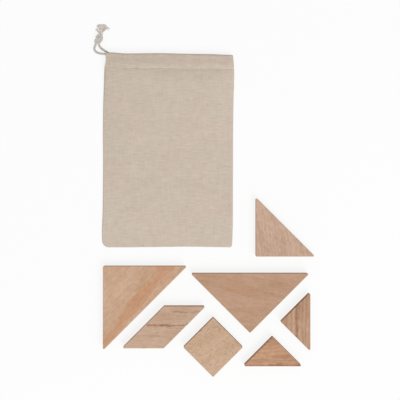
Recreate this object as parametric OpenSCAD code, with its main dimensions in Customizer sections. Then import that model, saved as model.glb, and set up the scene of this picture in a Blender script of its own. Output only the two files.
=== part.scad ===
// Seven-piece tangram puzzle in beech, laid out beside its cotton drawstring pouch.
// Everything lies flat on one surface at z = 0. X runs to the right and Y away from the viewer.

/* [Puzzle] */
// Side of the square that the seven pieces close into
square_side = 92; // [70:1:150]
// Thickness of the beech board that the pieces are sawn from
board_thick = 7; // [4:0.5:15]
// Clearance between neighbours in the closed square
fit_gap = 0.3; // [0.1:0.05:1]
// Radius of the upright corners, seen from above
corner_round = 0.8; // [0.6:0.1:3]
// Radius sanded along the upper and lower edges
edge_ease = 0.4; // [0.1:0.05:0.5]

/* [Pouch] */
// Width of the pouch, seam to seam
pouch_width = 100; // [80:1:200]
// Length of the pouch, from its fold to its mouth
pouch_length = 150; // [110:1:250]
// Thickness of one layer of cotton cloth
cloth_thick = 0.45; // [0.3:0.05:0.8]
// Cloth turned in along each side seam
seam_allowance = 6; // [4:0.5:12]
// Depth of the hem, from the mouth to its folded edge
hem_depth = 10; // [8:0.5:20]
// How far above the folded edge the hem is stitched
stitch_inset = 1; // [0.5:0.1:2]
// Length over which the front layer rises to the hem
mouth_rise = 20; // [14:1:40]
// Radius of the two turned corners at the fold
fold_corner = 3; // [1:0.5:8]
// How far the front half of the hem stops short of the left seam
front_hem_inset = 2; // [1:0.5:8]
// How far the back half of the hem stops short of the left seam
back_hem_inset = 4.5; // [1:0.5:8]
// Gap between the two halves of the hem, at the mouth
hem_gap = 0.3; // [0.2:0.05:1]

/* [Cord] */
// Diameter of the twisted cotton cord
cord_diameter = 1.8; // [1.2:0.1:2.4]
// Play of the cord in the hem, all round
cord_play = 0.1; // [0.05:0.05:0.4]
// Width of the knot
knot_width = 7; // [5:0.5:12]
// Length of the knot along the cord
knot_length = 7; // [5:0.5:12]
// Height of the knot
knot_height = 4; // [3:0.5:5]
// How far the knot leans to the right of the two strands
knot_lean = 0.9; // [0:0.1:2]
// Length of the frayed tassel
tassel_length = 8.5; // [4:0.5:20]
// Width of the tassel at its loose end
tassel_width = 9; // [5:0.5:20]
// How far the tassel's loose end leans to the right of the two strands
tassel_lean = 3.2; // [0:0.1:6]

/* [Layout] */
// How far the left triangle starts inside the pouch's left seam
left_inset = 0.5; // [0:0.1:10]
// Gap between the pouch's fold and the left triangle
row_gap = 14; // [2:0.5:40]
// Gap between the tips of the two large triangles
tip_gap = 1.6; // [0.5:0.1:20]
// Drop from the left triangle's top side to the right one's
row_step = 5.5; // [0:0.1:20]
// Gap between the pouch's right seam and the medium triangle
medium_side_gap = 17.5; // [2:0.5:40]
// Gap between the medium triangle and the large one below it
medium_foot_gap = 12.5; // [2:0.5:40]
// Gap between the left triangle's long side and the parallelogram
slant_gap = 8.7; // [1:0.1:30]
// Gap between the parallelogram and the square
square_gap = 9.7; // [1:0.1:30]
// Gap between the square and the lower small triangle
lower_gap = 10.1; // [1:0.1:30]
// Gap between the right triangle's right leg and the upper small triangle
upper_gap = 10.3; // [1:0.1:30]
// Gap between the two small triangles
small_gap = 12.1; // [1:0.1:30]
// Gap between the right triangle's left leg and the parallelogram
parallelogram_drop = 8.9; // [1:0.1:30]
// Gap between the right triangle's left leg and the square
square_drop = 11.3; // [1:0.1:30]
// How far the upper small triangle stands out past the right triangle's tip
right_outset = 0.3; // [0:0.1:10]

/* [Hidden] */
$fn = 48;

// The cuts of the square: every length is the side divided by two, by root two or by both.
root2 = sqrt(2);
large_leg = square_side / root2;
medium_leg = square_side / 2;
slant_side = large_leg / 2;
quarter = square_side / 4;

// Distances along the two diagonals: across runs down to the right, along runs up to the right.
function across(p) = (p[0] - p[1]) / root2;
function along(p) = (p[0] + p[1]) / root2;
function at_diagonals(a, b) = [(a + b) / root2, (b - a) / root2];

// Anchor of each piece, measured from the pouch's lower left corner.
left_at = [left_inset, -row_gap];
right_at = left_at + [large_leg + tip_gap, -row_step];
medium_at = [pouch_width + medium_side_gap, right_at[1] + medium_foot_gap];
parallelogram_across = across(left_at + [large_leg, 0]) + slant_gap;
square_across = parallelogram_across + quarter + square_gap;
lower_across = square_across + slant_side + lower_gap;
upper_across = across(right_at + [square_side, 0]) + upper_gap;
upper_x = right_at[0] + square_side + right_outset - quarter;
upper_at = [upper_x, upper_x - root2 * upper_across];
parallelogram_at = at_diagonals(parallelogram_across, along(right_at) - parallelogram_drop - quarter);
square_at = at_diagonals(square_across, along(right_at) - square_drop);
lower_at = at_diagonals(lower_across, along(upper_at) - small_gap);

// Sharp corners of each piece, anticlockwise.
function moved(points, by) = [for (p = points) p + by];
large_left_corners = moved([[0, 0], [0, -large_leg], [large_leg, 0]], left_at);
large_right_corners = moved([[0, 0], [medium_leg, -medium_leg], [square_side, 0]], right_at);
medium_corners = moved([[0, 0], [medium_leg, 0], [0, medium_leg]], medium_at);
upper_corners = moved([[0, 0], [quarter, -quarter], [quarter, quarter]], upper_at);
lower_corners = moved([[0, 0], [-quarter, -quarter], [quarter, -quarter]], lower_at);
square_corners = moved([[0, 0], [-quarter, -quarter], [0, -medium_leg], [quarter, -quarter]], square_at);
parallelogram_corners = moved([[0, 0], [-slant_side, -slant_side], [0, -slant_side], [slant_side, 0]],
                              parallelogram_at);

// Corners moved inwards by d from both of their sides.
function unit(v) = v / norm(v);
function inward(a, b) = unit([a[1] - b[1], b[0] - a[0]]);
function inset(corners, d) = [
    for (i = [0:len(corners) - 1])
        let (n = len(corners),
             before = inward(corners[(i + n - 1) % n], corners[i]),
             after = inward(corners[i], corners[(i + 1) % n]))
        corners[i] + d * (before + after) / (1 + before * after)
];

// Outline of a sawn piece: half the fitting clearance is taken off each side.
function sawn(corners) = inset(corners, fit_gap / 2);

// The whole layout is centred on its own outline, rounded corners and all.
function round_centres(corners) = inset(sawn(corners), corner_round);
all_centres = concat(round_centres(large_left_corners), round_centres(large_right_corners),
                     round_centres(medium_corners), round_centres(upper_corners),
                     round_centres(lower_corners), round_centres(square_corners),
                     round_centres(parallelogram_corners));
function low(k) = min([for (p = all_centres) p[k]]) - corner_round;
function high(k) = max([for (p = all_centres) p[k]]) + corner_round;
middle = [(min(0, low(0)) + max(pouch_width, high(0))) / 2,
          (min(0, low(1)) + max(pouch_length, high(1))) / 2, 0];

// How far cutting shapes reach past what they cut.
past = 1;

// Points round an arc, and even steps from one value to another.
function arc(centre, radius, start, end, steps) = [
    for (angle = stretch(start, end, steps)) centre + radius * [cos(angle), sin(angle)]
];
function stretch(start, end, steps) = [for (i = [0:steps]) start + (end - start) * i / steps];

// Board sawn off straight along one side and sanded along both edges there, as
// [distance out of the piece, height] pairs.
side_section = concat(
    [[-square_side, 0]],
    arc([-edge_ease, edge_ease], edge_ease, -90, 0, 4),
    arc([-edge_ease, board_thick - edge_ease], edge_ease, 0, 90, 4),
    [[-square_side, board_thick]]
);
module sawn_side(start, end) {
    side = end - start;
    beyond = end + square_side * unit(side);
    translate([beyond[0], beyond[1], 0]) rotate([90, 0, atan2(side[1], side[0]) - 90])
        linear_extrude(height = norm(side) + 2 * square_side) polygon(side_section);
}

// What is taken off an upright corner to round it, between the two sides that meet there. Its
// curve runs on straight past both sides.
module corner_shaving(before, corner, after) {
    out_before = -inward(before, corner);
    out_after = -inward(corner, after);
    tip = (out_before + out_after) / (1 + out_before * out_after);
    centre = corner - corner_round * tip;
    from = atan2(out_before[1], out_before[0]);
    turn = acos(out_before * out_after);
    curve = arc(centre, corner_round, from, from + turn, 6);
    last = len(curve) - 1;
    translate([0, 0, -past]) linear_extrude(height = board_thick + 2 * past) polygon(concat(
        [2 * curve[0] - curve[1]],
        [for (i = [1:last - 1]) curve[i]],
        [2 * curve[last] - curve[last - 1]],
        [for (way = [out_after, tip, out_before]) corner + corner_round * way]
    ));
}

// One block sawn from the board: the meeting of its sides, with rounded corners.
module block(corners) {
    outline = sawn(corners);
    count = len(outline);
    translate(-middle) difference() {
        intersection_for(i = [0:count - 1]) sawn_side(outline[i], outline[(i + 1) % count]);
        for (i = [0:count - 1])
            corner_shaving(outline[(i + count - 1) % count], outline[i], outline[(i + 1) % count]);
    }
}

module large_triangle_left() { color("#c6a084") block(large_left_corners); }
module large_triangle_right() { color("#bb977d") block(large_right_corners); }
module medium_triangle() { color("#c4a590") block(medium_corners); }
module small_triangle_upper() { color("#b6937a") block(upper_corners); }
module small_triangle_lower() { color("#c09779") block(lower_corners); }
module square_piece() { color("#c8a88e") block(square_corners); }
module parallelogram_piece() { color("#c1a18b") block(parallelogram_corners); }

// The hem: a round tunnel for the cord at the mouth, closing to the stitched line below it.
tunnel_radius = cord_diameter / 2 + cord_play;
hem_radius = tunnel_radius + cloth_thick;
back_cord_z = hem_radius;
front_cord_z = 3 * hem_radius + hem_gap;
cord_y = pouch_length - hem_radius;
hem_foot = pouch_length - hem_depth;
stitch_y = hem_foot + stitch_inset;
rise_y = cord_y - mouth_rise;

// Four layers lie on each other at the seams, and the front one rises to the hem.
body_top = 4 * cloth_thick;
function ease(t) = t <= 0 ? 0 : t >= 1 ? 1 : t * t * (3 - 2 * t);
function blend(a, b, share) = a + (b - a) * share;
function hem_share(y) = ease((y - stitch_y) / (cord_y - stitch_y));
function front_top(y) = blend(body_top, front_cord_z + hem_radius, ease((y - rise_y) / mouth_rise));
function back_hem_top(y) = blend(2 * cloth_thick, back_cord_z + hem_radius, hem_share(y));
function front_hem_low(y) = blend(front_top(y) - 2 * cloth_thick, front_cord_z - hem_radius, hem_share(y));

// Sections of the pouch, as [distance from the fold, height] pairs.
hem_steps = 10;
pouch_section = concat(
    arc([body_top / 2, body_top / 2], body_top / 2, 90, 270, 8),
    arc([cord_y, back_cord_z], hem_radius, -90, 0, 5),
    arc([cord_y, front_cord_z], hem_radius, 0, 90, 5),
    [for (y = stretch(cord_y, rise_y, 14)) if (y < cord_y) [y, front_top(y)]]
);
pocket_section = concat(
    arc([body_top / 2, body_top / 2], body_top / 2 - cloth_thick, 90, 270, 6),
    [[hem_foot, cloth_thick]],
    [for (y = stretch(hem_foot, rise_y, 8)) [y, front_top(y) - cloth_thick]]
);
mouth_start = hem_foot - cloth_thick;
mouth_end = pouch_length + cloth_thick;
mouth_section = concat(
    [[mouth_start, 2 * cloth_thick]],
    [for (y = stretch(stitch_y, cord_y, hem_steps)) if (y < cord_y) [y, back_hem_top(y)]],
    arc([cord_y, back_cord_z], hem_radius, 90, 0, 5),
    [[mouth_end, back_cord_z], [mouth_end, front_cord_z]],
    arc([cord_y, front_cord_z], hem_radius, 0, -90, 5),
    [for (y = stretch(cord_y, stitch_y, hem_steps)) if (y < cord_y) [y, front_hem_low(y)]],
    [[mouth_start, front_hem_low(mouth_start)]]
);
back_tunnel = concat(
    arc([cord_y, back_cord_z], tunnel_radius, -90, 90, 10),
    [for (y = stretch(cord_y, stitch_y, hem_steps)) if (y < cord_y) [y, back_hem_top(y) - cloth_thick]]
);
front_tunnel = concat(
    arc([cord_y, front_cord_z], tunnel_radius, -90, 90, 10),
    [for (y = stretch(cord_y, stitch_y, hem_steps)) if (y < cord_y) [y, front_top(y) - cloth_thick]],
    [for (y = stretch(stitch_y, cord_y, hem_steps)) if (y > stitch_y && y < cord_y)
        [y, front_hem_low(y) + cloth_thick]]
);

// The cord turns back inside the closed right end of the hem.
turn_radius = (front_cord_z - back_cord_z) / 2;
turn_x = pouch_width - cloth_thick - tunnel_radius - turn_radius;
turn_z = (front_cord_z + back_cord_z) / 2;
turn_section = concat(
    arc([cord_y, front_cord_z], tunnel_radius, 0, 180, 20),
    arc([cord_y, back_cord_z], tunnel_radius, 180, 360, 20)
);
turn_outline = arc([turn_x, turn_z], turn_radius + tunnel_radius, -90, 90, 16);

// A section drawn in [y, z], stretched along the pouch's width.
module across_pouch(from, to) {
    translate([from, 0, 0]) rotate([90, 0, 90]) linear_extrude(height = to - from) children();
}

// The space in which the cord turns, as wide as the tunnels and round as seen from the mouth.
module cord_turn() {
    intersection() {
        across_pouch(turn_x, pouch_width) polygon(turn_section);
        translate([0, pouch_length, 0]) rotate([90, 0, 0])
            linear_extrude(height = 2 * hem_radius) polygon(turn_outline);
    }
}

// What the hem lacks at the pouch's left seam, where the cord comes out.
module hem_end(width, from_z, to_z) {
    depth = 2 * hem_radius + cloth_thick;
    translate([-past, pouch_length - depth, from_z])
        cube([width + past, depth + past, to_z - from_z]);
}

// What is outside a turned corner at the fold, drawn at the left one.
module corner_waste() {
    linear_extrude(height = 3 * body_top, center = true) polygon(concat(
        [[fold_corner, -past], [-past, -past], [-past, fold_corner]],
        arc([fold_corner, fold_corner], fold_corner, 180, 270, 6)
    ));
}

// One strip of cloth folded at the bottom, sewn up both sides, with a hem round its mouth.
module pouch() {
    color("#c9bbac") translate(-middle) difference() {
        across_pouch(0, pouch_width) polygon(pouch_section);
        across_pouch(seam_allowance, pouch_width - seam_allowance) polygon(pocket_section);
        for (section = [mouth_section, back_tunnel, front_tunnel])
            across_pouch(-past, turn_x) polygon(section);
        cord_turn();
        hem_end(front_hem_inset, turn_z, front_cord_z + hem_radius + past);
        hem_end(back_hem_inset, -past, turn_z);
        corner_waste();
        translate([pouch_width, 0, 0]) mirror([1, 0, 0]) corner_waste();
    }
}

// Points of the two free strands, from the pouch's upper left corner, from the knot to the hem.
knot_at = [-4.3, 7];
strand_z = cord_diameter / 2;
front_strand = [[-5.4, 7, 0], [-5.4, 6.4, 0], [-6, 5, 0], [-6.5, 3.6, 0], [-6.4, 2.2, 0], [-5.6, 0.9, 0],
                [-4.3, 0, 0.1], [-2.6, -0.7, 0.7], [-0.8, -1.2, 1.8], [0.7, -1.4, 3]];
back_strand = [[-3.2, 7, 0], [-3.2, 6.4, 0], [-2.6, 5, 0], [-1.7, 3.8, 0], [-0.6, 2.6, 0], [0.6, 1.4, 0],
               [1.9, 0.2, 0.1], [3.2, -0.8, 0.3]];
hem_corner = [0, pouch_length, 0];
cord_route = concat(
    moved(front_strand, hem_corner + [0, 0, strand_z]),
    [for (x = [front_hem_inset, turn_x / 2, turn_x]) [x, cord_y, front_cord_z]],
    [for (angle = [60, 30, 0, -30, -60])
        [turn_x + turn_radius * cos(angle), cord_y, turn_z + turn_radius * sin(angle)]],
    [for (x = [turn_x, turn_x / 2, back_hem_inset]) [x, cord_y, back_cord_z]],
    [for (i = [1:len(back_strand)]) back_strand[len(back_strand) - i] + hem_corner + [0, 0, strand_z]]
);

// A round cord swept along its route, with a ring of points at each place on it.
module swept_cord(route, radius, sides) {
    last = len(route) - 1;
    lean = unit([0.3, 0.8, 0.5]);
    points = [
        for (i = [0:last], k = [0:sides - 1])
            let (forward = unit(route[min(i + 1, last)] - route[max(i - 1, 0)]),
                 right = unit(cross(forward, lean)),
                 up = cross(right, forward),
                 angle = 360 * k / sides)
            route[i] + radius * (cos(angle) * right - sin(angle) * up)
    ];
    walls = [
        for (i = [0:last - 1], k = [0:sides - 1])
            let (a = i * sides + k, b = i * sides + (k + 1) % sides)
            each [[a, a + sides, b + sides], [a, b + sides, b]]
    ];
    ends = [[for (k = [0:sides - 1]) k], [for (k = [1:sides]) (last + 1) * sides - k]];
    polyhedron(points = points, faces = concat(walls, ends));
}

module drawcord() {
    color("#b4aca5") translate(-middle) swept_cord(cord_route, cord_diameter / 2, 8);
}

// The band of cord where the knot meets the strands or the tassel.
band_width = 2 * cord_diameter;
band_depth = 0.2;
module cord_band(x, y) {
    translate([x - band_width / 2, y, 0]) cube([band_width, band_depth, cord_diameter]);
}

// An overhand knot in both ends together: two lobes, one low on the left and one high on the right.
module cord_knot() {
    lobe = knot_height / 2;
    lobe_shift = knot_width / 2 - lobe;
    color("#b4aca5") translate(hem_corner + [knot_at[0], knot_at[1], 0] - middle) hull() {
        cord_band(0, 0);
        translate([knot_lean - lobe_shift, lobe + cord_diameter / 2, lobe]) sphere(r = lobe, $fn = 20);
        translate([knot_lean + lobe_shift, knot_length - lobe, lobe]) sphere(r = lobe, $fn = 20);
        cord_band(tassel_lean, knot_length - band_depth);
    }
}

// The cord's frayed ends, fanning out from the knot.
module cord_tassel() {
    end_round = cord_diameter / 2;
    color("#b9afa6") translate(hem_corner + [knot_at[0], knot_at[1] + knot_length, 0] - middle) hull() {
        cord_band(tassel_lean, 0);
        for (side = [-1, 1])
            translate([tassel_lean + side * (tassel_width / 2 - end_round), tassel_length - end_round, 0])
                cylinder(h = cord_diameter / 2, r = end_round, $fn = 16);
    }
}

large_triangle_left();
large_triangle_right();
medium_triangle();
small_triangle_upper();
small_triangle_lower();
square_piece();
parallelogram_piece();
pouch();
drawcord();
cord_knot();
cord_tassel();
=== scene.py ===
import math

import bmesh
import bpy
import numpy as np
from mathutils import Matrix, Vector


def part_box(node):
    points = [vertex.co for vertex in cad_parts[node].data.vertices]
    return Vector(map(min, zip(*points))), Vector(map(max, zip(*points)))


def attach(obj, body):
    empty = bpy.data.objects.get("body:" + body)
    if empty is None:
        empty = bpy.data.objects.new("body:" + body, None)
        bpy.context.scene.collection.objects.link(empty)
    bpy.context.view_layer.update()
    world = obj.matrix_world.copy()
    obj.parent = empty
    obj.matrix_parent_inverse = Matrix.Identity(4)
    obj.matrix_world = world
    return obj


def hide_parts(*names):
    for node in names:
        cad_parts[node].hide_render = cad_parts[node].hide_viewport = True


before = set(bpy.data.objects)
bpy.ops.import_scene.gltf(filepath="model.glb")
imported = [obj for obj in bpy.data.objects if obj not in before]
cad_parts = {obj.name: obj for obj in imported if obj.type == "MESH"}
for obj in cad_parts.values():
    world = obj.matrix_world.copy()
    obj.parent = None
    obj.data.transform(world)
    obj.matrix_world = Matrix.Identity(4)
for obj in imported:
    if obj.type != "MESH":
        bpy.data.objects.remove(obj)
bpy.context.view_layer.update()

# The view: straight down on the laid-out set from about 0.7 m. At that height the blocks show
# the sides that face the middle of the picture, as thin dark bands.
VIEW_MIDDLE = (-0.0061, 0.01074)
VIEW_HEIGHT = 0.69
VIEW_WIDTH = 0.3088
SENSOR = 36.0
lens = bpy.data.cameras.new("overhead_view")
lens.sensor_width = SENSOR
lens.lens = SENSOR * VIEW_HEIGHT / VIEW_WIDTH
lens.clip_start = 0.01
overhead = bpy.data.objects.new("overhead_view", lens)
overhead.location = (*VIEW_MIDDLE, VIEW_HEIGHT)
bpy.context.scene.collection.objects.link(overhead)
bpy.context.scene.camera = overhead
bpy.context.scene.view_settings.view_transform = "Standard"

# Drawcord: 1.8 mm soft cotton cord of three loosely laid strands. It runs round inside the hem
# of the pouch, and both its ends come out at the upper left corner and are knotted together.
CORD_DIAMETER = 0.0018
CORD_LAY = 0.0062
CORD_PLAY = 0.0001
STRAND_SHARE = 0.68
CORD_STEP = 0.00028
CLOTH = 0.00045
FRONT_ENTRY = 0.003
BACK_ENTRY = 0.007
pouch_low, pouch_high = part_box("pouch")
hem_corner = np.array([pouch_low.x, pouch_high.y, 0.0])
hem_radius = CORD_DIAMETER / 2 + CORD_PLAY + CLOTH
back_cord_z = hem_radius
front_cord_z = pouch_high.z - hem_radius
turn_radius = (front_cord_z - back_cord_z) / 2
turn_x = pouch_high.x - pouch_low.x - hem_radius - turn_radius
# how far the soft mouth lies beyond the straight one, as (distance from the left, distance out)
MOUTH_EDGE = [(0.000, -0.0004), (0.006, -0.0005), (0.013, -0.0011), (0.025, -0.0012), (0.040, -0.0010),
              (0.052, -0.0012), (0.064, -0.0015), (0.084, -0.0018), (0.097, -0.0023), (0.100, -0.0023)]
# the free strands from the knot to the hem, as points of their undersides, measured from the
# pouch's upper left corner
FRONT_STRAND = [(-0.0052, 0.0078, 0.0002), (-0.0054, 0.0066, 0.0000), (-0.0060, 0.0050, 0.0000),
                (-0.0065, 0.0036, 0.0000), (-0.0064, 0.0022, 0.0000), (-0.0056, 0.0009, 0.0000),
                (-0.0043, 0.0000, 0.0003), (-0.0026, -0.0007, 0.0011), (-0.0008, -0.0012, 0.0022),
                (0.0007, -0.0014, 0.0030)]
BACK_STRAND = [(-0.0034, 0.0078, 0.0002), (-0.0032, 0.0066, 0.0000), (-0.0026, 0.0050, 0.0000),
               (-0.0017, 0.0038, 0.0001), (-0.0005, 0.0027, 0.0006), (0.0009, 0.0017, 0.0013),
               (0.0024, 0.0007, 0.0017), (0.0040, -0.0003, 0.0012)]
strand_lift = np.array([0.0, 0.0, CORD_DIAMETER / 2])


def along_curve(points, at):
    """The value of a smooth curve through (place, value) points."""
    places, values = np.array(points, float).T
    slopes = np.gradient(values, places)
    at = np.clip(at, places[0], places[-1])
    i = np.clip(np.searchsorted(places, at) - 1, 0, len(places) - 2)
    gap = places[i + 1] - places[i]
    t = (at - places[i]) / gap
    return ((1 + 2 * t) * (1 - t) ** 2 * values[i] + t * (1 - t) ** 2 * gap * slopes[i]
            + t * t * (3 - 2 * t) * values[i + 1] + t * t * (t - 1) * gap * slopes[i + 1])


def in_hem(x, z):
    """A point of the cord's way through the hem, from the pouch's upper left corner."""
    return x, along_curve(MOUTH_EDGE, x) - hem_radius, z


hem_run = [in_hem(x, front_cord_z) for x in np.linspace(FRONT_ENTRY, turn_x, 9)]
hem_turn = [in_hem(turn_x + turn_radius * math.cos(a), back_cord_z + turn_radius * (1 + math.sin(a)))
            for a in np.radians([60, 30, 0, -30, -60])]
hem_return = [in_hem(x, back_cord_z) for x in np.linspace(turn_x, BACK_ENTRY, 9)]
cord_route = np.array([*(np.array(FRONT_STRAND) + strand_lift), *hem_run, *hem_turn, *hem_return,
                       *(np.array(BACK_STRAND[::-1]) + strand_lift)]) + hem_corner


def smooth_line(points, spacing):
    """A smooth line through the points, in even steps."""
    points = np.array(points, float)
    along = np.concatenate([[0], np.cumsum(np.linalg.norm(np.diff(points, axis=0), axis=1))])
    fine = np.linspace(0, along[-1], int(4 * along[-1] / spacing) + 2)
    curves = [np.stack([along, points[:, k]], axis=1) for k in range(3)]
    line = np.stack([along_curve(curve, fine) for curve in curves], axis=1)
    travelled = np.concatenate([[0], np.cumsum(np.linalg.norm(np.diff(line, axis=0), axis=1))])
    even = np.linspace(0, travelled[-1], max(3, int(round(travelled[-1] / spacing)) + 1))
    return np.stack([np.interp(even, travelled, line[:, k]) for k in range(3)], axis=1)


def line_length(line):
    """How long a line of points is."""
    return float(np.linalg.norm(np.diff(line, axis=0), axis=1).sum())


def square_to(line):
    """Two directions square to a line at each of its points, with no twist between them."""
    ahead = np.gradient(line, axis=0)
    ahead /= np.linalg.norm(ahead, axis=1)[:, None]
    side = np.zeros_like(line)
    # no line here starts out nearly upright, so this way is never along one
    side[0] = np.cross(ahead[0], (0.1, 0.2, 1.0))
    for k in range(len(line)):
        side[k] = side[max(k - 1, 0)]
        side[k] -= ahead[k] * (side[k] @ ahead[k])
        side[k] /= np.linalg.norm(side[k])
    return side, np.cross(ahead, side)


def closed_rows(rows):
    """Points and faces of rows of points that each run round in a closed loop."""
    count = rows.shape[1]
    faces = []
    for first in range(0, (len(rows) - 1) * count, count):
        for k in range(count):
            after = (k + 1) % count
            faces.append((first + k, first + after, first + count + after, first + count + k))
    return rows.reshape(-1, 3), faces


def tube(line, sections):
    """Rings of points round a line, one row of sections for each point, closed at both ends."""
    side, up = square_to(line)
    count = sections.shape[1]
    turn = np.linspace(0, 2 * math.pi, count, endpoint=False)
    rings = line[:, None] + sections[:, :, None] * (np.cos(turn)[None, :, None] * side[:, None]
                                                    + np.sin(turn)[None, :, None] * up[:, None])
    points, faces = closed_rows(rings)
    first = tuple(range(count))[::-1]
    last = tuple(range(len(points) - count, len(points)))
    return points, [*faces, first, last]


def laid_sections(line, sides):
    """The cord's outlines along a line: three strands twisted together, turning once in each lay."""
    turn = np.linspace(0, 2 * math.pi, sides, endpoint=False)[None, :]
    twist = 2 * math.pi * np.linspace(0, line_length(line), len(line))[:, None] / CORD_LAY
    off = (turn - twist + math.pi / 3) % (2 * math.pi / 3) - math.pi / 3
    strand = STRAND_SHARE * CORD_DIAMETER / 2
    reach = CORD_DIAMETER / 2 - strand
    return reach * np.cos(off) + np.sqrt(strand ** 2 - (reach * np.sin(off)) ** 2)


def joined(parts):
    """Several meshes' points and faces as one."""
    points, faces, count = [], [], 0
    for some_points, some_faces in parts:
        points.append(some_points)
        faces += [tuple(v + count for v in face) for face in some_faces]
        count += len(some_points)
    return np.concatenate(points), faces


def piece(name, points, faces, material, slot):
    """A new mesh piece of soft stuff, smooth shaded, that lies with the set."""
    mesh = bpy.data.meshes.new(name)
    mesh.from_pydata([tuple(p) for p in points], [], faces)
    mesh.update()
    mesh.polygons.foreach_set("use_smooth", [True] * len(mesh.polygons))
    mesh.materials.append(material)
    obj = bpy.data.objects.new(name, mesh)
    bpy.context.scene.collection.objects.link(obj)
    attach(obj, "root")
    return obj


def linear(colour):
    """An sRGB hex colour as linear values."""
    parts = [int(colour[k:k + 2], 16) / 255 for k in (0, 2, 4)]
    return (*[p / 12.92 if p <= 0.04045 else ((p + 0.055) / 1.055) ** 2.4 for p in parts], 1.0)


def add(tree, kind, links=(), **settings):
    """A shader node with its settings, and its inputs linked or set; a node links by its result."""
    node = tree.nodes.new("ShaderNode" + kind)
    for name, value in settings.items():
        setattr(node, name, value)
    for socket, source in dict(links).items():
        if isinstance(source, bpy.types.Node):
            source = next(result for result in source.outputs if result.enabled)
        if isinstance(source, bpy.types.NodeSocket):
            tree.links.new(source, node.inputs[socket])
        else:
            node.inputs[socket].default_value = source
    return node


def cotton_yarn(name, pale, shaded):
    """Unbleached cotton yarn, spun and unglazed: greyish, matt, with soft fuzz at grazing angles."""
    material = bpy.data.materials.new(name)
    material.use_nodes = True
    tree = material.node_tree
    shader = tree.nodes["Principled BSDF"]
    place = add(tree, "TexCoord").outputs["Object"]
    # fibres of about 0.02 mm can't show, so the mottling stands for thick and thin yarn of 1.1 mm
    mottle = add(tree, "TexNoise", {"Vector": place, "Scale": 1 / 0.00111, "Detail": 3.0})
    colour = add(tree, "Mix", {0: mottle, 6: linear(shaded), 7: linear(pale)}, data_type="RGBA")
    tree.links.new(colour.outputs[2], shader.inputs["Base Color"])
    shader.inputs["Roughness"].default_value = 0.95
    shader.inputs["Specular IOR Level"].default_value = 0.2
    shader.inputs["Sheen Weight"].default_value = 0.25
    shader.inputs["Sheen Roughness"].default_value = 0.5
    fuzz = add(tree, "Bump", {"Height": mottle, "Strength": 0.5, "Distance": 0.0001})
    tree.links.new(fuzz.outputs["Normal"], shader.inputs["Normal"])
    return material


cord_cotton = cotton_yarn("undyed_cotton_cord_twisted", "d4cdc6", "b9b2aa")
cord_line = smooth_line(cord_route, CORD_STEP)
cord_mesh = tube(cord_line, laid_sections(cord_line, sides=30))
drawcord = piece("drawcord_laid", *cord_mesh, cord_cotton, "cotton_cord")
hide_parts("drawcord")

# Knot: both cord ends laid side by side, tied together in one overhand knot and pulled tight.
# The pair goes once round itself, lying flat like a ribbon, and leaves upwards to the right.
# the knot's foot is measured from the pouch's upper left corner, to the right and up
KNOT_FOOT = (-0.0043, 0.0066)
KNOT_LENGTH = 0.0072
KNOT_LEAN = 0.0034
KNOT_SWING = 0.00068
KNOT_RISE = 0.0011
KNOT_DEPTH = 0.00011
KNOT_STEP = 0.00022
PAIR_SPREAD = 0.00082
SPREAD_BELOW = 0.00028
SQUEEZE_ABOVE = 0.00035


def ease(t):
    """A smooth rise from 0 to 1 while t goes from 0 to 1."""
    t = np.clip(t, 0, 1)
    return t * t * (3 - 2 * t)


# the line between the two cords: the simplest curve that ties an overhand knot, drawn out
# upwards, and laid flat on the table at its ends
knot_time = np.linspace(-2.15, 2.15, 260)
knot_run = knot_time ** 3 - 3 * knot_time
knot_swing = knot_time ** 4 - 4 * knot_time ** 2 + 1.6
knot_depth = knot_time ** 5 - 10 * knot_time
climb = 0.5 + 0.5 * knot_run / knot_run[-1]
tied = ease((2.12 - np.abs(knot_time)) / 0.5)
pair_line = smooth_line(np.stack([
    hem_corner[0] + KNOT_FOOT[0] + KNOT_LEAN * climb + KNOT_SWING * knot_swing * tied,
    hem_corner[1] + KNOT_FOOT[1] + KNOT_LENGTH * climb,
    CORD_DIAMETER / 2 + (KNOT_RISE + KNOT_DEPTH * knot_depth) * tied,
], axis=1), KNOT_STEP)
flat_side = np.cross(np.gradient(pair_line, axis=0), (0.0, 0.0, 1.0))
flat_side /= np.linalg.norm(flat_side, axis=1)[:, None]
way_up = np.linspace(0, 1, len(pair_line))[:, None]
spread = PAIR_SPREAD + SPREAD_BELOW * (1 - way_up) ** 8 - SQUEEZE_ABOVE * way_up ** 12
knot_parts = []
for way in (-1, 1):
    strand = smooth_line(pair_line + way * spread * flat_side, KNOT_STEP)
    sections = laid_sections(strand, sides=24)
    # thinner ends, which go into the free strands below and the tassel above
    sections[:6] *= np.linspace(0.6, 1, 6)[:, None]
    sections[-8:] *= np.linspace(1, 0.3, 8)[:, None]
    knot_parts.append(tube(strand, sections))
knot = piece("cord_knot_overhand", *joined(knot_parts), cord_cotton, "cotton_cord")
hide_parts("cord_knot")

# Tassel: past the knot both cords are left to fray. Their yarns open into one soft brush that
# was cut straight across, with a wisp to the left and two to the right. Fluffed up, the loose yarns are
# paler than the cord, and their colour is also painted paler: painted light for the light that passes
# through the loose cotton.
TASSEL_LENGTH = 0.0090
TASSEL_LOWEST = 0.0003
NECK_THICKNESS = 0.0019
TIP_THICKNESS = 0.0010
# the brush starts a little to the left of the knot's top, and inside it
NECK_LEFT = 0.0003
NECK_SUNK = 0.0015
FLARE = 1.3
YARN_SCATTER = 0.00018
YARN_RIPPLE = 0.0002
YARN_RADII = (0.00010, 0.00016)
YARN_STEP = 0.0006
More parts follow.
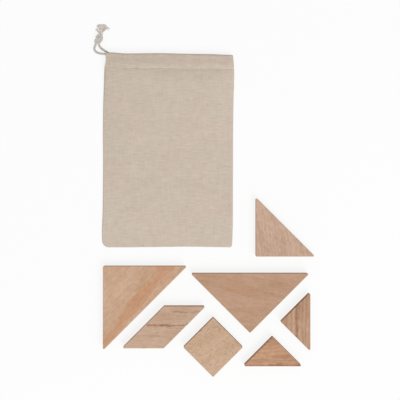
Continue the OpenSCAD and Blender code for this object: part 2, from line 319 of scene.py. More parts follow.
# a tuft is (start across, lean, bend further along, share of the length, yarns)
TUFTS = [(-0.00056, -0.62, 0.12, 0.66, 14), (-0.00042, -0.15, -0.12, 1.06, 50),
         (-0.00028, -0.07, 0.00, 1.04, 60), (0.00000, -0.01, 0.00, 1.02, 60),
         (0.00021, 0.10, 0.00, 1.03, 60), (0.00042, 0.20, 0.05, 1.06, 50),
         (0.00049, 0.20, 1.35, 1.12, 12), (0.00049, 0.26, 0.55, 1.02, 8)]
neck_x = hem_corner[0] + KNOT_FOOT[0] + KNOT_LEAN - NECK_LEFT
neck_y = hem_corner[1] + KNOT_FOOT[1] + KNOT_LENGTH - NECK_SUNK
tassel_dice = np.random.default_rng(11)
steps = np.linspace(0, 1, 11)
opening = np.clip(2.2 * steps, 0, 1) ** 1.5
yarns = []
for foot, lean, bend, share, count in TUFTS:
    for _ in range(count):
        heading = FLARE * (lean + tassel_dice.normal(0, 0.07)) * opening
        heading = heading + (bend + tassel_dice.normal(0, 0.22)) * steps ** 1.6
        stride = TASSEL_LENGTH * share * tassel_dice.uniform(0.9, 1.03) / len(steps)
        stride = stride / max(math.cos(lean), 0.8)
        layer = tassel_dice.uniform(0.0, 1.0)
        height = TASSEL_LOWEST + layer * (NECK_THICKNESS + (TIP_THICKNESS - NECK_THICKNESS) * steps)
        height = height + YARN_RIPPLE * np.sin(5 * steps + 6 * layer)
        start = neck_x + foot + tassel_dice.normal(0, YARN_SCATTER)
        line = np.stack([start + stride * np.cumsum(np.sin(heading)),
                         neck_y + stride * np.cumsum(np.cos(heading)), height], axis=1)
        line = smooth_line(line, YARN_STEP)
        radii = tassel_dice.uniform(*YARN_RADII) * np.linspace(1.0, 0.7, len(line))
        yarns.append(tube(line, np.repeat(radii[:, None], 6, axis=1)))
# painted light: the cord's cotton made paler, standing in for light that passes through and between the
# loose yarns
tassel_cotton_painted_pale = cotton_yarn("undyed_cotton_yarn_painted_pale", "e5ded5", "cdc4ba")
tassel = piece("cord_tassel_frayed", *joined(yarns), tassel_cotton_painted_pale, "cotton_cord")
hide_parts("cord_tassel")

# Pouch: one strip of unbleached plain-weave cotton, folded at the bottom, sewn up both sides
# with 6 mm turned in, and turned right side out. Its front layer lies slackly on the back one.
SEAM_ALLOWANCE = 0.006
HEM_DEPTH = 0.010
BACK_OPENING = 0.0025
LEFT_CORNER = 0.0046
RIGHT_CORNER = 0.0020
SLACK_REACH = 0.028
SLACK_HEIGHT = 0.0002
CREASE_HEIGHT = 0.00004
PUCKER_HEIGHT = 0.00006
LEFT_SEAM_STEP = 0.00012
RIGHT_SEAM_STEP = 0.00003
HEM_STEP = 0.00035
THREAD_DIP = 0.00012
THREAD_LIFT = 0.0003
UNDER_CLOTH = 0.00002
YARN_PITCH = 0.00055
pouch_width = pouch_high.x - pouch_low.x
pouch_length = pouch_high.y - pouch_low.y
cord_y = pouch_length - hem_radius
stitch_y = pouch_length - HEM_DEPTH
middle_z = (front_cord_z + back_cord_z) / 2
# how far the soft outline strays from the straight one, as (place along it, distance out), and
# where the hem's lower edge and its stitching run, as (distance from the left, distance above
# the straight line)
LEFT_EDGE = [(0.000, 0.0002), (0.006, 0.0006), (0.029, 0.0001), (0.060, -0.0002), (0.092, -0.0001),
             (0.113, -0.0004), (0.127, -0.0010), (0.135, -0.0013), (0.138, -0.0015), (0.142, -0.0024),
             (0.150, -0.0026)]
RIGHT_EDGE = [(0.000, -0.0006), (0.005, -0.0002), (0.010, 0.0000), (0.048, 0.0003), (0.094, 0.0005),
              (0.117, 0.0008), (0.136, 0.0012), (0.143, 0.0009), (0.147, 0.0006), (0.149, 0.0005),
              (0.150, 0.0010)]
FOLD_EDGE = [(0.000, 0.0001), (0.013, 0.0001), (0.036, -0.0001), (0.067, -0.0004), (0.093, 0.0000),
             (0.100, 0.0001)]
HEM_FOOT = [(0.000, -0.0008), (0.020, -0.0010), (0.042, -0.0015), (0.060, -0.0014), (0.088, -0.0009),
            (0.100, -0.0006)]
THREAD_LINE = [(0.000, 0.0022), (0.008, 0.0019), (0.016, 0.0013), (0.023, 0.0005), (0.029, -0.0003),
               (0.038, -0.0007), (0.100, -0.0005)]
# height of the upper face, as (distance from the fold, height), down the middle and at the seams:
# the layers part towards the hem, which dips at its stitching, swells over the raw edge that is
# folded in behind it, and rolls over the cord
MIDDLE_RISE = [(0.000, 0.0011), (0.006, 0.0014), (0.020, 0.0019), (0.050, 0.0025), (0.080, 0.0033),
               (0.110, 0.0049), (0.122, 0.0056), (0.130, 0.0058), (0.136, 0.0055), (0.139, 0.0054),
               (0.1430, 0.0059), (0.1465, 0.0059), (0.1485, 0.0061)]
SEAM_RISE = [(0.000, 0.0012), (0.006, 0.0018), (0.080, 0.0020), (0.110, 0.0028), (0.127, 0.0037),
             (0.134, 0.0045), (0.139, 0.0047), (0.1430, 0.0055), (0.1465, 0.0057), (0.1485, 0.0061)]


def soft_waves(seed, low, high):
    """A gentle, irregular rise and fall of cloth, with wavelengths from low to high."""
    dice = np.random.default_rng(seed)
    count = 14
    angle = dice.uniform(0, math.pi, count)
    number = 2 * math.pi / dice.uniform(low, high, count)
    phase = dice.uniform(0, 2 * math.pi, count)

    def height(x, y):
        total = 0.0
        for k in range(count):
            place = x * math.cos(angle[k]) + y * math.sin(angle[k])
            total = total + np.sin(number[k] * place + phase[k])
        return math.sqrt(2 / count) * total

    return height


slack = soft_waves(3, 0.022, 0.060)
creases = soft_waves(8, 0.006, 0.014)
puckers = soft_waves(5, 0.0035, 0.0050)


def corner_inset(y, radius):
    """How far a rounded corner at the fold lies inside the pouch's side."""
    return radius - np.sqrt(radius ** 2 - np.clip(radius - y, 0, radius) ** 2)


def outline(x, y):
    """Where a point of the straight pouch lies on the soft one, seen from above."""
    left = corner_inset(y, LEFT_CORNER) - along_curve(LEFT_EDGE, y)
    right = pouch_width + along_curve(RIGHT_EDGE, y) - corner_inset(y, RIGHT_CORNER)
    climb = y / pouch_length
    shift = ease(2 * climb - 1) * along_curve(MOUTH_EDGE, x) - (1 - climb) * along_curve(FOLD_EDGE, x)
    return left + (right - left) * x / pouch_width, y + shift


def hem_foot(x):
    """How high up the pouch its hem begins."""
    return stitch_y + along_curve(HEM_FOOT, x)


def thread_line(x):
    """How high up the pouch its row of stitches runs."""
    return stitch_y + along_curve(THREAD_LINE, x)


def groove(off, width):
    """A soft groove's depth at a distance from its middle, from 0 to 1."""
    return np.exp(-(off / width) ** 2)


def cloth_top(x, y):
    """Height of the pouch's upper face."""
    from_side = np.minimum(x, pouch_width - x)
    inwards = 1 - (1 - np.clip(from_side / SLACK_REACH, 0, 1)) ** 2
    seam, middle = along_curve(SEAM_RISE, y), along_curve(MIDDLE_RISE, y)
    top = seam + (middle - seam) * inwards
    loose = ease((from_side - 0.002) / 0.02) * ease(y / 0.02) * ease((cord_y - y) / 0.01)
    top = top + SLACK_HEIGHT * loose * slack(x, y) + CREASE_HEIGHT * creases(x, y) * ease(y / 0.01)
    # the cloth turned in at each seam ends in a soft step, plainer on the left
    step = groove(from_side - SEAM_ALLOWANCE, 0.0012) * ease(y / 0.1)
    top = top - np.where(x < pouch_width / 2, LEFT_SEAM_STEP, RIGHT_SEAM_STEP) * step
    # the hem's stitched foot, which is lost in the seam's plies at the left, and its stitches
    plain = 0.3 + 0.7 * ease((x - SEAM_ALLOWANCE) / 0.020)
    top = top - HEM_STEP * plain * groove(y - hem_foot(x), 0.0019)
    top = top - THREAD_DIP * groove(y - thread_line(x), 0.0006)
    return top + PUCKER_HEIGHT * groove(y - hem_foot(x), 0.004) * puckers(x, 0.35 * y)


def cloth_bottom(x, y):
    """Height of the pouch's lower face, which the stitching draws a little off the table."""
    return UNDER_CLOTH + THREAD_LIFT * groove(y - thread_line(x), 0.001)


def edge_round(distance, radius):
    """How far a rounded edge has risen at a distance from its end, from 0 to 1."""
    return np.sqrt(1 - (1 - np.clip(distance / radius, 0, 1)) ** 2)


# the body: rows round the pouch from its fold up to the hem's stitching, and back down inside,
# closer together where the cloth bends; PARTING is how high up its sides begin to open
INSIDE_SIDE = 0.0016
FOLD_ROWS = [0, 0.0003, 0.0011, 0.0024, 0.0043, 0.0068, 0.0100, 0.0143, 0.0200, 0.0260]
INSIDE_ROWS = 6
BODY_TUCK = 0.00012
TIGHTEST_SIDE = 0.0006
BODY_GAP = 0.00004
PARTING = 0.110
across = pouch_width * (0.5 - 0.5 * np.cos(np.pi * np.linspace(0, 1, 100)))
climbs = [*FOLD_ROWS, *np.linspace(0.034, 0.9, 90), *np.linspace(0.906, 1, 22)]
body_rows = []
for inside, climb in [(0, c) for c in climbs] + [(1, c) for c in climbs[:INSIDE_ROWS - 1:-1]]:
    x = across + inside * INSIDE_SIDE * (1 - 2 * across / pouch_width)
    y = climb * hem_foot(x)
    top = cloth_top(x, y) - BODY_TUCK * (climb == 1)
    near_hem = ease((y - PARTING) / 0.030)
    middle = 2 * CLOTH + (middle_z - 2 * CLOTH) * near_hem
    side_radius = 0.3 * top + (middle_z - 0.3 * top) * near_hem ** 3
    from_edge = np.minimum(np.minimum(x, pouch_width - x), y)
    full = edge_round(from_edge, np.maximum(TIGHTEST_SIDE, side_radius))
    upper = middle + (top - inside * CLOTH - middle) * full
    lower = middle + (cloth_bottom(x, y) + inside * CLOTH - middle) * full
    upper = np.maximum(upper, lower + inside * BODY_GAP)
    real_x, real_y = outline(x, y)
    front = np.stack([real_x, real_y, upper], axis=1)
    back = np.stack([real_x, real_y, lower], axis=1)
    body_rows.append(np.concatenate([front, back[-2:0:-1]]))
body_points, body_faces = closed_rows(np.array(body_rows))
# the last row, inside and near the fold, is closed by a strip between its two layers
end = len(body_points)
left = end - len(body_rows[-1])
right = left + len(across) - 1
body_faces += [(left + k, left + k + 1, end - k - 1, end - k) for k in range(1, len(across) - 2)]
body_faces += [(left, left + 1, end - 1), (right - 1, right, right + 1)]

# the hem: a channel that runs along the front layer, round the right side seam and back along
# the back layer, open at its two left ends; its section narrows from the cord to the stitching
HEM_OVERLAP = 0.0003
CHANNEL_FOOT = 0.0028
HEM_GAP = 0.00005
hem_reach = hem_radius + turn_radius
tail = np.linspace(0, 1, 12)
lip = np.radians(np.linspace(75, -75, 11))
straight = [x for x in across if x < turn_x]
stations = [(x, 90) for x in straight] + [(turn_x, a) for a in range(75, -76, -15)]
stations += [(x, -90) for x in straight[::-1] if x > BACK_OPENING]
hem_rows = []
for inside in (0, 1):
    radius = hem_radius - inside * CLOTH
    for x, angle in (stations[::-1] if inside else stations):
        round_turn = np.array([[math.cos(math.radians(angle))], [math.sin(math.radians(angle))]])
        foot = hem_foot(x + hem_reach * round_turn[0, 0]) + inside * CHANNEL_FOOT - HEM_OVERLAP
        level = foot + (cord_y - foot) * tail
        side_x = np.full(len(tail), x)
        above, below = cloth_top(side_x, level) - middle_z, middle_z - cloth_bottom(side_x, level)
        out = np.stack([np.full(len(tail), hem_reach), above if angle > 0 else below])
        under = out - 2 * CLOTH
        under = under + (turn_radius - hem_radius - under) * ease(tail)
        out = out - inside * CLOTH
        under = np.minimum(under + inside * CLOTH, out - HEM_GAP)
        over = np.tile(turn_radius + radius * np.sin(lip), (2, 1))
        reach = np.concatenate([out, over, under[:, ::-1]], axis=1) * round_turn
        level = np.concatenate([level, cord_y + radius * np.cos(lip), level[::-1]])
        real_x, real_y = outline(x + reach[0], level)
        hem_rows.append(np.stack([real_x, real_y, middle_z + reach[1]], axis=1))
hem_rows.append(hem_rows[0])
pouch_hem = closed_rows(np.array(hem_rows))


def plain_weave(name, pale, shaded, speck, hem_start):
    """Unbleached, unpressed cotton: plain weave of slubby yarns with specks of seed husk."""
    material = bpy.data.materials.new(name)
    material.use_nodes = True
    tree = material.node_tree
    shader = tree.nodes["Principled BSDF"]
    place = add(tree, "TexCoord").outputs["Object"]
    split = add(tree, "SeparateXYZ", {0: place}).outputs
    # each yarn is thicker and thinner along its length: slubs of 6.3 by 1 mm across the pouch
    # and 0.9 by 8.3 mm up it, and clouds of 6.3 mm where the cloth is denser
    slubs = []
    for size in ((0.00625, 0.001, 0.001), (0.000909, 0.00833, 0.001)):
        drawn = add(tree, "Mapping", {"Vector": place, "Scale": [1 / side for side in size]})
        slubs.append(add(tree, "TexNoise", {"Vector": drawn, "Scale": 1.0, "Detail": 3.0,
                                            "Roughness": 0.6}))
    both = add(tree, "Math", {0: slubs[0], 1: 1.6, 2: slubs[1]}, operation="MULTIPLY_ADD")
    tone = add(tree, "MapRange", {"Value": both, "From Min": 0.85, "From Max": 1.75})
    cloudy = add(tree, "TexNoise", {"Vector": place, "Scale": 1 / 0.00625, "Detail": 3.0})
    tone = add(tree, "Math", {0: tone, 1: 0.95, 2: -0.115}, operation="MULTIPLY_ADD")
    tone = add(tree, "Math", {0: cloudy, 1: 0.38, 2: tone}, operation="MULTIPLY_ADD")
    # painted shade: the hem's extra plies let less light through, so the base colour there is made a
    # shade darker than the rest
    painted_ply_shade = add(tree, "MapRange", {"Value": split[1], "From Min": hem_start - 0.0008,
                                   "From Max": hem_start + 0.0008, "To Max": -0.32})
    tone = add(tree, "Math", {0: tone, 1: painted_ply_shade}, operation="ADD")
    colour = add(tree, "Mix", {0: tone, 6: linear(shaded), 7: linear(pale)}, data_type="RGBA")
    # the fibre's own colour drifts from rosy to greyish over 3 cm
    drift = add(tree, "TexNoise", {"Vector": place, "Scale": 1 / 0.0294, "Detail": 2.0})
    hue = add(tree, "MapRange", {"Value": drift, "From Min": 0.3, "From Max": 0.7})
    hue = add(tree, "Mix", {0: hue, 6: linear("fefaf8"), 7: linear("fbfdf7")}, data_type="RGBA")
    colour = add(tree, "Mix", {0: 1.0, 6: colour, 7: hue}, data_type="RGBA", blend_type="MULTIPLY")
    # husk specks of up to 1.2 mm, a centimetre or two apart
    husks = add(tree, "TexVoronoi", {"Vector": place, "Scale": 1 / 0.00833, "Randomness": 1.0},
                voronoi_dimensions="2D")
    few = add(tree, "SeparateColor", {0: husks.outputs["Color"]})
    size = add(tree, "MapRange", {"Value": few, "From Min": 0.76, "From Max": 1.0,
                                  "To Min": 0.01, "To Max": 0.07})
    edge = add(tree, "Math", {0: size, 1: husks.outputs["Distance"]}, operation="SUBTRACT")
    spot = add(tree, "MapRange", {"Value": edge, "From Min": 0.0, "From Max": 0.05, "To Max": 0.55})
    colour = add(tree, "Mix", {0: spot, 6: colour, 7: linear(speck)}, data_type="RGBA")
    tree.links.new(colour.outputs[2], shader.inputs["Base Color"])
    # the weave itself: yarns that pass over and under each other by turns
    waves = []
    for axis in (0, 1):
        swing = add(tree, "Math", {0: split[axis], 1: math.pi / YARN_PITCH}, operation="MULTIPLY")
        swing = add(tree, "Math", {0: slubs[1 - axis], 1: 1.5, 2: swing}, operation="MULTIPLY_ADD")
        waves.append(add(tree, "Math", {0: swing}, operation="SINE"))
    crossing = add(tree, "Math", {0: waves[0], 1: waves[1]}, operation="MULTIPLY")
    yarns = []
    for wave, way in zip(waves, (0.5, -0.5)):
        round_yarn = add(tree, "Math", {0: wave}, operation="ABSOLUTE")
        rise = add(tree, "Math", {0: crossing, 1: way, 2: 0.6}, operation="MULTIPLY_ADD")
        yarns.append(add(tree, "Math", {0: round_yarn, 1: rise}, operation="MULTIPLY"))
    upper_yarn = add(tree, "Math", {0: yarns[0], 1: yarns[1]}, operation="MAXIMUM")
    relief = add(tree, "Math", {0: both, 1: 1.2, 2: upper_yarn}, operation="MULTIPLY_ADD")
    bump = add(tree, "Bump", {"Height": relief, "Strength": 0.34, "Distance": 0.0001})
    tree.links.new(bump.outputs["Normal"], shader.inputs["Normal"])
    shader.inputs["Roughness"].default_value = 0.92
    shader.inputs["Specular IOR Level"].default_value = 0.25
    shader.inputs["Sheen Weight"].default_value = 0.2
    shader.inputs["Sheen Roughness"].default_value = 0.5
    return material


pouch_cotton = plain_weave("unbleached_cotton_plain_weave", "d2c5b9", "c1b2a5", "7e5638",
                           pouch_low.y + stitch_y - 0.0012)
pouch_corner = np.array([pouch_low.x, pouch_low.y, 0.0])
pouch_points, pouch_faces = joined([(body_points, body_faces), pouch_hem])
pouch = piece("pouch_sewn", pouch_points + pouch_corner, pouch_faces, pouch_cotton, "cotton_cloth")
# the last row of the hem lies on its first, and the two become one here
cloth = bmesh.new()
cloth.from_mesh(pouch.data)
bmesh.ops.remove_doubles(cloth, verts=cloth.verts, dist=0.000001)
bmesh.ops.recalc_face_normals(cloth, faces=cloth.faces)
cloth.to_mesh(pouch.data)
cloth.free()
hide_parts("pouch")

# Stitching: one row of cotton machine stitches through all plies of the hem, 2.1 mm each, drawn
# down into the cloth; it shows on the front and on the back.
STITCH = 0.0021
STITCH_HALF = 0.39 * STITCH
FIRST_STITCH = 0.0042
THREAD = 0.00042
to_end = np.linspace(-1, 1, 9)
sunk = 0.7 * THREAD * to_end ** 4
thread_radii = 0.5 * THREAD * np.sqrt(1 - 0.8 * to_end ** 4)
stitches = []
for face in ("front", "back"):
    for x in np.arange(FIRST_STITCH, pouch_width - FIRST_STITCH, STITCH):
        along = x + STITCH_HALF * to_end
        y = thread_line(along)
        z = cloth_bottom(along, y) - 0.2 * THREAD + sunk
        if face == "front":
            z = cloth_top(along, y) + 0.3 * THREAD - sunk
        real_x, real_y = outline(along, y)
        line = np.stack([real_x, real_y, z], axis=1) + pouch_corner
        stitches.append(tube(line, np.repeat(thread_radii[:, None], 8, axis=1)))
sewing_thread = cotton_yarn("undyed_cotton_sewing_thread", "eae2d7", "d1c6b9")
stitching = piece("hem_stitching", *joined(stitches), sewing_thread, "cotton_cloth")

# Tans: seven blocks sawn from 7 mm beech boards, sanded with slightly eased edges and left
# without any finish. Each one lies its own way in its board, so each has its own figure.
RAY_BROWN = "865a3e"
END_BROWN = "a9805f"


def beech(name, node, grain, pale, dark, rings, ring, pith, blotch, grit, tilt=0.02, dive=0.0,
          wave=1.0, flecks=0.04, streaks=()):
    """Sanded beech without a finish: matt, rosy tan, with faint rings and brown ray flecks. The
    grain runs at an angle to the right. The ring width and the pith, as (across, up) from the
    block's middle, are in mm, and the pith leaves the grain's line by tilt and dive for each mm
    along it. Rings, blotch, grit and flecks say how plainly each shows, and wave how far the
    rings bend. A streak is (across, width, strength, colour, start, end along the grain)."""
    low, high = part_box(node)
    material = bpy.data.materials.new(name)
    material.use_nodes = True
    tree = material.node_tree
    shader = tree.nodes["Principled BSDF"]
    place = add(tree, "TexCoord").outputs["Object"]
    # the board's own axes, in mm from the block's middle: along the grain, across it and up
    board = add(tree, "Mapping", {"Vector": place, "Location": (low + high) / 2,
                                  "Rotation": (0, 0, math.radians(grain)),
                                  "Scale": (0.001, 0.001, 0.001)}, vector_type="TEXTURE")
    along, across, through = add(tree, "SeparateXYZ", {0: board}).outputs
    # noises drawn out along the grain, as (length, width) in mm; fibres of 0.02 mm can't show,
    # so the finest lines stand for bundles of about 0.3 mm
    noise = {}
    for part, length, width, detail, roughness in (
            ("bend", 45.45, 9.09, 2.0, 0.5),
            ("ripple", 8.33, 2.0, 2.0, 0.5),
            ("fibre", 10.0, 0.3125, 4.0, 0.65),
            ("broad", 83.3, 11.11, 2.0, 0.5),
            ("cloud", 14.29, 6.25, 4.0, 0.6),
            ("pore", 2.222, 0.588, 1.0, 0.5),
            ("grit", 3.333, 1.333, 3.0, 0.7)):
        drawn = add(tree, "Mapping", {"Vector": board, "Scale": (1 / length, 1 / width, 1 / width)})
        noise[part] = add(tree, "TexNoise", {"Vector": drawn, "Scale": 1.0, "Detail": detail,
                                             "Roughness": roughness})
    evened = {part: add(tree, "MapRange", {"Value": noise[part], "From Min": 0.3, "From Max": 0.7},
                        interpolation_type="SMOOTHSTEP") for part in ("fibre", "broad", "cloud", "grit")}
    # the board's face cuts the growth rings, which bend as the tree did; late wood is darker
    warped = add(tree, "Math", {0: noise["bend"], 1: 8.0 * wave, 2: -4.0 * wave},
                 operation="MULTIPLY_ADD")
    warped = add(tree, "Math", {0: noise["ripple"], 1: wave, 2: warped}, operation="MULTIPLY_ADD")
    warped = add(tree, "Math", {0: across, 1: warped}, operation="ADD")
    sideways = add(tree, "Math", {0: warped, 1: pith[0]}, operation="SUBTRACT")
    sideways = add(tree, "Math", {0: along, 1: tilt, 2: sideways}, operation="MULTIPLY_ADD")
    depth = add(tree, "Math", {0: through, 1: pith[1]}, operation="SUBTRACT")
    depth = add(tree, "Math", {0: along, 1: dive, 2: depth}, operation="MULTIPLY_ADD")
    from_pith = add(tree, "CombineXYZ", {0: sideways, 1: depth})
    radius = add(tree, "VectorMath", {0: from_pith}, operation="LENGTH").outputs["Value"]
    years = add(tree, "Math", {0: radius, 1: ring}, operation="DIVIDE")
    year = add(tree, "Math", {0: years}, operation="FRACT")
    autumn = add(tree, "MapRange", {"Value": year, "From Min": 0.2, "From Max": 0.92},
                 interpolation_type="SMOOTHSTEP")
    winter = add(tree, "MapRange", {"Value": year, "From Min": 1.0, "From Max": 0.93},
                 interpolation_type="SMOOTHSTEP")
    late = add(tree, "Math", {0: autumn, 1: winter}, operation="MULTIPLY")
    contrast = add(tree, "MapRange", {"Value": noise["broad"], "From Min": 0.3, "From Max": 0.7,
                                      "To Min": 0.6 * rings, "To Max": 1.3 * rings},
                   interpolation_type="SMOOTHSTEP")
    tone = add(tree, "Math", {0: late, 1: contrast, 2: -0.5 * grit}, operation="MULTIPLY_ADD")
    for part, weight in (("fibre", 0.34), ("broad", 0.24), ("cloud", blotch), ("grit", grit)):
        tone = add(tree, "Math", {0: evened[part], 1: weight, 2: tone}, operation="MULTIPLY_ADD")
    colour = add(tree, "Mix", {0: tone, 6: linear(pale), 7: linear(dark)}, data_type="RGBA")
    # streaks of red heart: ragged along their sides, dappled, and fading out at their ends
    ragged = add(tree, "Math", {0: noise["cloud"], 1: 0.5}, operation="SUBTRACT")
    dappled = add(tree, "MapRange", {"Value": noise["grit"], "From Min": 0.3, "From Max": 0.7,
                                     "To Min": 0.6, "To Max": 1.3})
    for middle, width, strength, tint, start, end in streaks:
        away = add(tree, "Math", {0: warped, 1: middle}, operation="SUBTRACT")
        away = add(tree, "Math", {0: away}, operation="ABSOLUTE")
        away = add(tree, "Math", {0: ragged, 1: -1.2 * width, 2: away}, operation="MULTIPLY_ADD")
        away = add(tree, "Math", {0: evened["grit"], 1: -0.5, 2: away}, operation="MULTIPLY_ADD")
        away = add(tree, "Math", {0: away, 1: 0.25}, operation="ADD")
        shade = add(tree, "MapRange", {"Value": away, "From Min": 0.75 * width, "From Max": 0.05 * width,
                                       "To Max": strength}, interpolation_type="SMOOTHSTEP")
        for limit, inwards in ((start, start + width), (end, end - width)):
            fade = add(tree, "MapRange", {"Value": along, "From Min": limit, "From Max": inwards},
                       interpolation_type="SMOOTHSTEP")
            shade = add(tree, "Math", {0: shade, 1: fade}, operation="MULTIPLY")
        shade = add(tree, "Math", {0: shade, 1: dappled}, operation="MULTIPLY")
        colour = add(tree, "Mix", {0: shade, 6: colour, 7: linear(tint)}, data_type="RGBA")
    # rays cut across on the face: dark dashes along the grain, a few of 2.5 by 1 mm in cells of
    # 5 by 2.2 mm, and many fine ones
    cell = add(tree, "Mapping", {"Vector": board, "Scale": (1 / 5, 1 / 2.222, 1 / 2.222)})
    rays = add(tree, "TexVoronoi", {"Vector": cell, "Scale": 1.0, "Randomness": 1.0})
    dice = add(tree, "SeparateColor", {0: rays.outputs["Color"]}).outputs
    shrink = add(tree, "MapRange", {"Value": dice[1], "To Min": 0.8, "To Max": 1.7})
    apart = add(tree, "Math", {0: rays.outputs["Distance"], 1: shrink}, operation="MULTIPLY")
    dash = add(tree, "MapRange", {"Value": apart, "From Min": 0.32, "From Max": 0.12},
               interpolation_type="SMOOTHSTEP")
    chosen = add(tree, "MapRange", {"Value": dice[0], "From Min": 1.0 - flecks,
                                    "From Max": 1.1 - flecks})
    dash = add(tree, "Math", {0: dash, 1: chosen}, operation="MULTIPLY")
    fine = add(tree, "MapRange", {"Value": noise["pore"], "From Min": 0.60, "From Max": 0.74,
                                  "To Max": 0.5 + flecks}, interpolation_type="SMOOTHSTEP")
    dash = add(tree, "Math", {0: dash, 1: fine}, operation="MAXIMUM")
    shade = add(tree, "Math", {0: dash, 1: 0.42}, operation="MULTIPLY")
    colour = add(tree, "Mix", {0: shade, 6: colour, 7: linear(RAY_BROWN)}, data_type="RGBA")
    # sawn across the grain, the wood is darker
    facing = add(tree, "NewGeometry").outputs["Normal"]
    grain_way = (math.cos(math.radians(grain)), math.sin(math.radians(grain)), 0.0)
    end_grain = add(tree, "VectorMath", {0: facing, 1: grain_way}, operation="DOT_PRODUCT")
    end_grain = add(tree, "Math", {0: end_grain.outputs["Value"]}, operation="ABSOLUTE")
    shade = add(tree, "MapRange", {"Value": end_grain, "From Min": 0.35, "From Max": 1.0,
                                   "To Max": 0.45}, interpolation_type="SMOOTHSTEP")
    colour = add(tree, "Mix", {0: shade, 6: colour, 7: linear(END_BROWN)}, data_type="RGBA")
    tree.links.new(colour.outputs[2], shader.inputs["Base Color"])
    gloss = add(tree, "MapRange", {"Value": noise["fibre"], "From Min": 0.2, "From Max": 0.8,
                                   "To Min": 0.52, "To Max": 0.64})
    tree.links.new(gloss.outputs[0], shader.inputs["Roughness"])
    shader.inputs["Specular IOR Level"].default_value = 0.35
    relief = add(tree, "Math", {0: dash, 1: -0.6, 2: noise["fibre"]}, operation="MULTIPLY_ADD")
    bump = add(tree, "Bump", {"Height": relief, "Strength": 0.35, "Distance": 0.00008})
    tree.links.new(bump.outputs["Normal"], shader.inputs["Normal"])
    for slot in bpy.data.objects[node].material_slots:
        slot.material = material


beech("sanded_beech_steep_streaked", "large_triangle_left", 51, "ccad93", "b58c6c", rings=0.12, ring=3.0,
      pith=(60.0, -40.0), blotch=0.22, grit=0.5,
      streaks=[(6.5, 11.0, 0.54, "ba7f55", -52, 60), (12.5, 2.5, 0.3, "b87f52", -10, 40)])
beech("sanded_beech_level_tan", "large_triangle_right", -4, "bf9c83", "a47c5e", rings=0.13, ring=3.4,
      pith=(-8.0, -30.0), tilt=0.03, dive=0.10, wave=1.3, blotch=0.2, grit=0.3,
      streaks=[(-13.0, 1.6, 0.4, "a47c60", -18, 6), (13.0, 8.0, 0.4, "b58866", -22, 2)])
beech("sanded_beech_steep_rosy", "medium_triangle", -72, "cbac97", "ae8d74", rings=0.2, ring=2.0,
      pith=(60.0, -50.0), tilt=0.12, wave=1.3, blotch=0.15, grit=0.6, flecks=0.12)
beech("sanded_beech_upright_tan", "small_triangle_upper", 90, "c4a286", "a17a5d", rings=0.3, ring=2.4,
      pith=(50.0, -60.0), wave=0.25, blotch=0.15, grit=0.3,
      streaks=[(-0.9, 3.7, 0.70, "8c5c42", -40, 40), (3.4, 0.9, 0.45, "9c7257", -40, 40),
               (-5.2, 1.0, 0.6, "9d735c", -40, 40), (-7.4, 0.9, 0.45, "a07660", -40, 40),
               (-9.8, 2.2, 0.45, "a97a64", -40, 40)])
beech("sanded_beech_level_orange", "small_triangle_lower", 3, "c59c7b", "a07252", rings=0.2, ring=1.7,
      pith=(-40.0, -40.0), wave=1.2, blotch=0.15, grit=0.45, flecks=0.1,
      streaks=[(-9.8, 1.6, 0.8, "8d5a3c", -4, 24), (-10.4, 2.4, 0.6, "8d5a3c", -26, 26),
               (3.5, 1.2, 0.25, "a56f4d", -9, 4), (-2.5, 1.2, 0.25, "a56f4d", -2, 14),
               (-6.5, 1.4, 0.25, "a56f4d", -20, 2)])
beech("sanded_beech_level_rosy", "parallelogram_piece", 1, "c9ac96", "af8c70", rings=0.08, ring=2.4,
      pith=(-50.0, -50.0), wave=0.7, blotch=0.3, grit=0.3, flecks=0.2,
      streaks=[(1.7, 2.4, 0.8, "935f49", -14, 7), (1.6, 1.5, 0.8, "8f6250", -4, 40),
               (12.6, 1.0, 0.6, "946a56", 6, 30), (-0.8, 0.9, 0.4, "9a6e5a", 3, 16),
               (-6.2, 0.8, 0.5, "9a6e5a", -11, -1), (-2.2, 0.8, 0.5, "9a6e5a", -14, -8)])
beech("sanded_beech_flecked_pale", "square_piece", 32, "caad93", "b38f70", rings=0.06, ring=2.8,
      pith=(10.0, -90.0), blotch=0.15, grit=0.45, flecks=0.85)

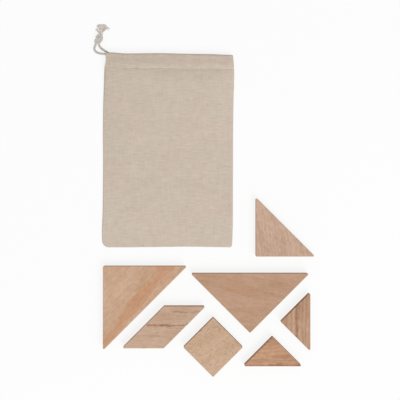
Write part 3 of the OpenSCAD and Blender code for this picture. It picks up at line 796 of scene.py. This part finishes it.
# Floor: a wide sheet of matt white card right under the set. To the camera most of its light is
# its own glow, so the ground looks plain white, with faint shadows.
FLOOR_HALF = 3.0
FLOOR_DROP = 0.0001
FLOOR_GLOW = 0.82
GLOW_STRENGTH = 1.02
floor_mesh = bpy.data.meshes.new("white_card")
corner_ways = ((-1, -1), (1, -1), (1, 1), (-1, 1))
corners = [(x * FLOOR_HALF, y * FLOOR_HALF, -FLOOR_DROP) for x, y in corner_ways]
floor_mesh.from_pydata(corners, [], [(0, 1, 2, 3)])
floor_mesh.update()
floor = bpy.data.objects.new("white_card", floor_mesh)
bpy.context.scene.collection.objects.link(floor)
card = bpy.data.materials.new("white_card_matt")
card.use_nodes = True
card_tree = card.node_tree
card_shader = card_tree.nodes["Principled BSDF"]
card_shader.inputs["Base Color"].default_value = linear("e7e7e7")
card_shader.inputs["Roughness"].default_value = 0.9
card_shader.inputs["Specular IOR Level"].default_value = 0.0
seen = add(card_tree, "LightPath").outputs["Is Camera Ray"]
glow = add(card_tree, "Emission", {"Color": linear("ffffff"), "Strength": GLOW_STRENGTH})
glow_share = add(card_tree, "Math", {0: seen, 1: FLOOR_GLOW}, operation="MULTIPLY")
mixed = add(card_tree, "MixShader", {0: glow_share, 1: card_shader, 2: glow})
card_tree.links.new(mixed.outputs["Shader"], card_tree.nodes["Material Output"].inputs["Surface"])
floor_mesh.materials.append(card)

# Light: a wide, soft studio lamp above the set's lower right, and even light from all round. The
# camera and the gloss on the set see the world as plain white.
SKY = 0.56
LAMP_POWER = 34.5
LAMP_SIZE = 1.6
LAMP_AT = (0.80, -1.20, 1.80)
world = bpy.data.worlds.new("studio")
bpy.context.scene.world = world
world.use_nodes = True
sky_tree = world.node_tree
rays = add(sky_tree, "LightPath")
straight_on = add(sky_tree, "Math", {0: rays.outputs["Is Camera Ray"], 1: rays.outputs["Is Glossy Ray"]},
                  operation="MAXIMUM")
straight_on = add(sky_tree, "Math", {0: straight_on, 1: rays.outputs["Is Transmission Ray"]},
                  operation="MAXIMUM")
level = add(sky_tree, "MapRange", {"Value": straight_on, "To Min": SKY, "To Max": 1.0})
sky = sky_tree.nodes["Background"]
sky.inputs["Color"].default_value = linear("ffffff")
sky_tree.links.new(level.outputs["Result"], sky.inputs["Strength"])
softbox = bpy.data.lights.new("softbox", "AREA")
softbox.shape = "DISK"
softbox.size = LAMP_SIZE
softbox.energy = LAMP_POWER
lamp = bpy.data.objects.new("softbox", softbox)
lamp.location = LAMP_AT
lamp.rotation_euler = (-lamp.location).to_track_quat("-Z", "Y").to_euler()
bpy.context.scene.collection.objects.link(lamp)
